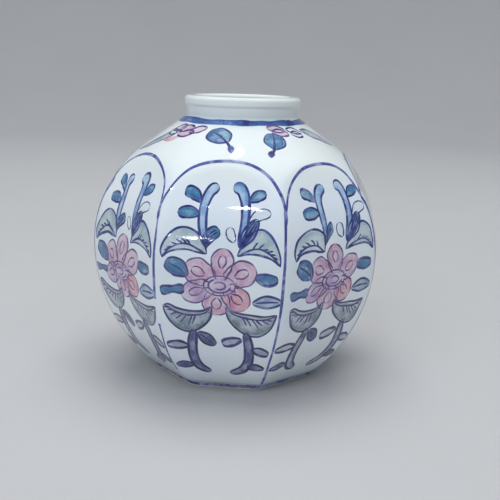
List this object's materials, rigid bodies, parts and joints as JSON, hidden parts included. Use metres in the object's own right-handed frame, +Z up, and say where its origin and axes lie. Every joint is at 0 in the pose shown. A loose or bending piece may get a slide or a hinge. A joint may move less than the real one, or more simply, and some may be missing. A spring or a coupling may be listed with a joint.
{
  "type": "ginger jar",
  "caption": "Small octagonal porcelain ginger jar without a lid: arched facets, round shoulder, short collar with a rolled lip, painted flowers and blue outlines.",
  "frame": {"origin": "on the jar's axis, in the plane that the foot rests on", "axes": "+Z up along the jar's axis, -Y out of the middle of the front panel, +X to the right of it"},
  "size_m": [0.0736, 0.0736, 0.074],
  "materials": {
    "porcelain": "gloss",
    "bare_foot": "matte",
    "blue_line": "gloss",
    "leaf_enamel": "gloss",
    "petal_enamel": "gloss"
  },
  "bodies": {
    "root": {"belly_shell": "porcelain", "neck_collar": "porcelain", "floor_disc": "porcelain", "foot_ring": "bare_foot", "neck_line": "blue_line", "foot_line": "blue_line", "panel_line_1": "blue_line", "panel_line_2": "blue_line", "panel_line_3": "blue_line", "panel_line_4": "blue_line", "panel_line_5": "blue_line", "panel_line_6": "blue_line", "panel_line_7": "blue_line", "panel_line_8": "blue_line"}
  },
  "joints": []
}
